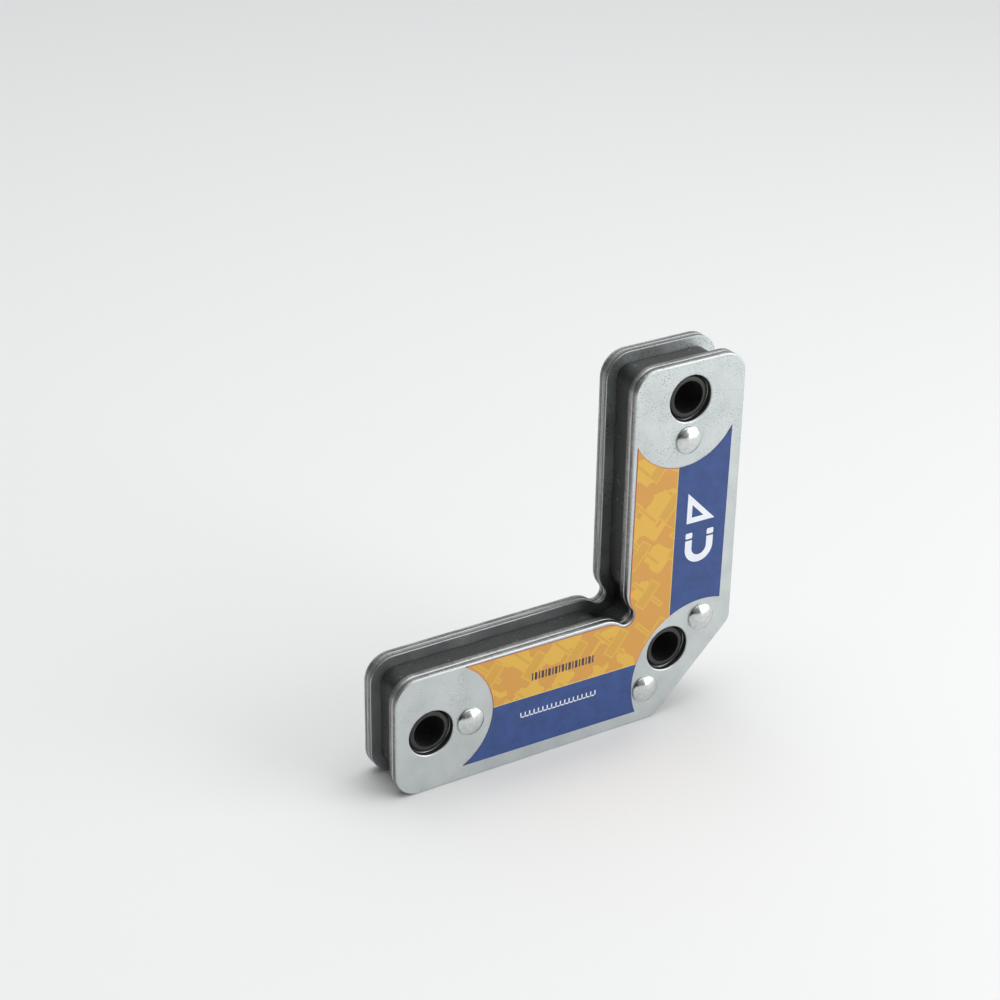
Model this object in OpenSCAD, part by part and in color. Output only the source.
// Magnetic welding square: a riveted L of steel sheets that clamp a moulded
// core with ferrite blocks. The L stands on its foot arm, with its upright arm
// at the +X end. Its label faces -Y, and the origin is under its middle.

/* [Arms] */
// Length of each arm, from the outer corner to its end
arm_length = 150; // [135:1:200]
// Width of each arm
arm_width = 49.5; // [47:0.5:56]
// Leg of the 45 degree cut across the outer corner
corner_cut = 34.5; // [28:0.5:36]
// Radius of the four corners at the arm ends
end_radius = 10; // [6:0.5:14]
// Radius of the two corners of the 45 degree cut
cut_radius = 5; // [5:0.5:8]
// Radius of the spatter relief in the inner corner
relief_radius = 3.5; // [2.5:0.5:5]
// Radius that blends the relief into the inner edges
blend_radius = 12; // [10:0.5:14]

/* [Layers] */
// Thickness of one steel sheet
sheet_thickness = 2.5; // [1.5:0.1:3]
// Thin gap that the stacked sheets leave between them
sheet_gap = 0.1; // [0:0.05:0.2]
// Thickness of the core between the sheets
core_thickness = 14; // [10:0.5:20]
// How far the core sits in from the edge of the sheets
core_inset = 4.3; // [3:0.1:5]

/* [Bushes] */
// Distance of an end bush from the end of its arm
end_bush_inset = 15; // [14:0.5:18]
// Distance of the elbow bush from both outer edges
elbow_bush_inset = 29.5; // [28:0.5:31]
// Outer diameter of a bush
bush_diameter = 18.5; // [16:0.1:19]
// Diameter of the hole through a bush
bush_bore = 12.7; // [10:0.1:13.5]
// Depth of the bush ends below the face of the sheets
bush_recess = 1.6; // [0.5:0.1:2]
// Chamfer on the outer rim of a bush
bush_chamfer = 1.2; // [0.5:0.1:1.5]

/* [Rivets] */
// Diameter of the rivet shanks
rivet_diameter = 6; // [4:0.5:6]
// Diameter of the domed rivet heads
rivet_head_diameter = 11.4; // [9:0.1:12]
// Height of the domed rivet heads
rivet_head_height = 2.5; // [2:0.1:4]
// Distance of an end rivet from the centre of its end bush
end_rivet_pitch = 16.7; // [16:0.1:18]
// Distance of an elbow rivet from the nearer outer edge
elbow_rivet_inset = 14.3; // [13:0.1:15]
// Distance of an elbow rivet from the farther outer edge
elbow_rivet_height = 39.5; // [39:0.5:41]

/* [Magnets] */
// Wall of the core around a magnet pocket
pocket_wall = 3; // [2:0.5:4]
// Web of the core between the two magnets of an arm
pocket_web = 2; // [1.5:0.5:4]

/* [Label] */
// Thickness of the printed label
label_thickness = 0.2; // [0.1:0.05:0.4]
// Distance of the label from the outer edges
label_outer_margin = 5.4; // [3:0.1:8]
// Distance of the label from the inner edges
label_inner_margin = 1.3; // [1:0.1:4]
// Distance of the label from the rim of the relief
label_relief_margin = 0.6; // [0.3:0.1:2]
// How far the radius of the arcs that end the label exceeds half its width
label_end_overlap = 3.1; // [1:0.1:6]
// Distance of the centre of those arcs from the end of the arm
label_end_inset = 17.5; // [16:0.1:20]
// Radius of the arc that opens the label around the elbow
label_elbow_radius = 31; // [30:0.1:33]
// Distance of the centre of that arc from both outer edges
label_elbow_inset = 15.7; // [15:0.1:17]

/* [Fits] */
// Radial clearance of a bush in its holes
bush_clearance = 0.05; // [0.02:0.01:0.1]
// Radial clearance of a rivet shank in its holes
rivet_clearance = 0.05; // [0.02:0.01:0.1]
// Clearance on each side of a magnet in its pocket
magnet_clearance = 0.2; // [0.1:0.05:0.5]

/* [Hidden] */
$fn = 96;

// Layers, as distances from the middle plane of the square
core_half = core_thickness / 2;
inner_sheet_out = core_half + sheet_thickness;
outer_sheet_in = inner_sheet_out + sheet_gap;
face_out = outer_sheet_in + sheet_thickness;

// Centre line of each arm, and the places of bushes and rivets along it,
// all measured from the outer corner: x runs left and z runs up
arm_middle = arm_width / 2;
end_bush_at = arm_length - end_bush_inset;
end_rivet_at = end_bush_at - end_rivet_pitch;
upright_bush_at = [-arm_middle, end_bush_at];
elbow_bush_at = [-elbow_bush_inset, elbow_bush_inset];
upright_rivet_at = [-arm_middle, end_rivet_at];
elbow_upper_rivet_at = [-elbow_rivet_inset, elbow_rivet_height];

// The label's arcs, centred on the label's own middle line
label_end_at = arm_length - label_end_inset;
label_middle = (label_outer_margin + arm_width - label_inner_margin) / 2;
label_end_radius = label_middle - label_outer_margin + label_end_overlap;

// Magnets fill the arm between the inner corner's blend and the end rivet
blend_reach = sqrt(pow(blend_radius + relief_radius, 2) - pow(blend_radius, 2));
magnet_width = arm_width - 2 * (core_inset + pocket_wall + magnet_clearance);
pockets_start = arm_width + blend_reach;
pockets_end = end_rivet_at - rivet_diameter / 2 - pocket_wall;
pocket_length = (pockets_end - pockets_start - pocket_web) / 2;
magnet_length = pocket_length - 2 * magnet_clearance;
lower_magnet_at = pockets_start + pocket_length / 2;
upper_magnet_at = pockets_end - pocket_length / 2;

// ---- Outline of the L ----

// The same place on the other arm, mirrored across the elbow's diagonal
function across(p) = [-p[1], -p[0]];

function unit(v) = v / norm(v);

// Half of the angle at corner b between its neighbours a and c
function half_angle(a, b, c) = acos(unit(a - b) * unit(c - b)) / 2;

// Where a round of radius r meets the side from corner b towards a
function tangent_point(a, b, c, r) = b + unit(a - b) * r / tan(half_angle(a, b, c));

// Centre of a round of radius r at corner b
function round_centre(a, b, c, r) =
    b + unit(unit(a - b) + unit(c - b)) * r / sin(half_angle(a, b, c));

// Outline of the L, moved in from its edges by inset, with a relief hole of
// radius relief in the inner corner. Straight sides end where the rounds start.
module outline(inset, relief) {
    round_end = end_radius - inset;
    round_cut = max(cut_radius - inset, 0.5);
    round_blend = blend_radius - inset;
    reach = sqrt(pow(round_blend + relief, 2) - pow(blend_radius, 2));
    cut_foot = corner_cut + inset * (sqrt(2) - 1);
    inner_corner = [-arm_width, arm_width];
    blend_centre = inner_corner + [blend_radius, reach];

    cut_corner = [-inset, cut_foot];
    outer_end = [-inset, arm_length - inset];
    inner_end = [inset - arm_width, arm_length - inset];
    blend_start = [inset - arm_width, arm_width + reach];

    cut_side = tangent_point(across(cut_corner), cut_corner, outer_end, round_cut);
    cut_up = tangent_point(outer_end, cut_corner, across(cut_corner), round_cut);
    cut_centre = round_centre(across(cut_corner), cut_corner, outer_end, round_cut);
    outer_low = tangent_point(cut_corner, outer_end, inner_end, round_end);
    outer_high = tangent_point(inner_end, outer_end, cut_corner, round_end);
    outer_centre = round_centre(cut_corner, outer_end, inner_end, round_end);
    inner_high = tangent_point(outer_end, inner_end, blend_start, round_end);
    inner_low = tangent_point(blend_start, inner_end, outer_end, round_end);
    inner_centre = round_centre(outer_end, inner_end, blend_start, round_end);

    half = [
        cut_side, cut_up, outer_low, outer_high, inner_high, inner_low,
        blend_start, blend_centre
    ];
    other_half = [for (i = [len(half) - 1:-1:0]) across(half[i])];
    rounds = [
        [cut_centre, round_cut],
        [outer_centre, round_end],
        [inner_centre, round_end],
        [blend_centre, round_blend]
    ];

    difference() {
        union() {
            polygon(concat(half, [inner_corner], other_half));
            for (r = rounds) {
                translate(r[0]) circle(r[1]);
                translate(across(r[0])) circle(r[1]);
            }
        }
        translate(inner_corner) circle(relief);
    }
}

// Stands a drawing of the L upright, between the depths near and far
module layer(near, far) {
    translate([arm_length / 2, far, 0])
        rotate([90, 0, 0])
            linear_extrude(far - near) children();
}

// Stands a shape that was made along Z at a place on the L, pointing to -Y
module across_square(place) {
    translate([arm_length / 2 + place[0], 0, place[1]])
        rotate([90, 0, 0]) children();
}

// Holes for the three bushes and the four rivets
module fastener_holes() {
    bush_hole = bush_diameter / 2 + bush_clearance;
    rivet_hole = rivet_diameter / 2 + rivet_clearance;
    for (place = [upright_bush_at, elbow_bush_at, across(upright_bush_at)])
        translate(place) circle(bush_hole);
    for (place = [upright_rivet_at, elbow_upper_rivet_at])
        for (p = [place, across(place)])
            translate(p) circle(rivet_hole);
}

// ---- Sub-parts ----

module sheet(near) {
    color("silver")
        layer(near, near + sheet_thickness)
            difference() {
                outline(0, relief_radius);
                fastener_holes();
            }
}

module pocket(along) {
    width = magnet_width + 2 * magnet_clearance;
    translate([-arm_middle, along]) square([width, pocket_length], center = true);
}

module core_carrier() {
    color("#2a2c2b")
        layer(-core_half, core_half)
            difference() {
                outline(core_inset, relief_radius + core_inset);
                fastener_holes();
                for (along = [lower_magnet_at, upper_magnet_at]) {
                    pocket(along);
                    mirror([1, 1]) pocket(along);
                }
            }
}

module magnet_outline(along) {
    translate([-arm_middle, along]) square([magnet_width, magnet_length], center = true);
}

module upright_magnet(along) {
    color("dimgray") layer(-core_half, core_half) magnet_outline(along);
}

module foot_magnet(along) {
    color("dimgray") layer(-core_half, core_half) mirror([1, 1]) magnet_outline(along);
}

// A plain tube with both outer rims chamfered, sunk below both faces
module bush(place) {
    radius = bush_diameter / 2;
    bore = bush_bore / 2;
    half_length = face_out - bush_recess;
    color("#3a3a3a")
        across_square(place)
            rotate_extrude()
                polygon([
                    [bore, -half_length],
                    [radius - bush_chamfer, -half_length],
                    [radius, bush_chamfer - half_length],
                    [radius, half_length - bush_chamfer],
                    [radius - bush_chamfer, half_length],
                    [bore, half_length]
                ]);
}

// Half of a domed head, drawn from its foot at height zero
module head_profile() {
    head = rivet_head_diameter / 2;
    dome = (pow(head, 2) + pow(rivet_head_height, 2)) / (2 * rivet_head_height);
    intersection() {
        translate([0, rivet_head_height - dome]) circle(dome);
        square([head, rivet_head_height]);
    }
}

// A shank with a domed head on each face of the square
module rivet(place) {
    color("gainsboro")
        across_square(place)
            rotate_extrude() {
                translate([0, -face_out]) square([rivet_diameter / 2, 2 * face_out]);
                translate([0, face_out]) head_profile();
                translate([0, -face_out]) mirror([0, 1]) head_profile();
            }
}

module front_label() {
    reach = label_end_at - label_outer_margin;
    color("goldenrod")
        layer(-face_out - label_thickness, -face_out)
            difference() {
                intersection() {
                    outline(label_inner_margin, relief_radius + label_relief_margin);
                    translate([-label_end_at, label_outer_margin]) square([reach, reach]);
                }
                translate([-label_middle, label_end_at]) circle(label_end_radius);
                translate([-label_end_at, label_middle]) circle(label_end_radius);
                translate([-label_elbow_inset, label_elbow_inset])
                    circle(label_elbow_radius);
            }
}

sheet(-face_out);  // front_outer_sheet
sheet(-inner_sheet_out);  // front_inner_sheet
sheet(core_half);  // rear_inner_sheet
sheet(outer_sheet_in);  // rear_outer_sheet
core_carrier();
upright_magnet(upper_magnet_at);  // upright_upper_magnet
upright_magnet(lower_magnet_at);  // upright_lower_magnet
foot_magnet(upper_magnet_at);  // foot_outer_magnet
foot_magnet(lower_magnet_at);  // foot_inner_magnet
bush(upright_bush_at);  // upright_bush
bush(elbow_bush_at);  // elbow_bush
bush(across(upright_bush_at));  // foot_bush
rivet(upright_rivet_at);  // upright_rivet
rivet(elbow_upper_rivet_at);  // elbow_upper_rivet
rivet(across(elbow_upper_rivet_at));  // elbow_lower_rivet
rivet(across(upright_rivet_at));  // foot_rivet
front_label();
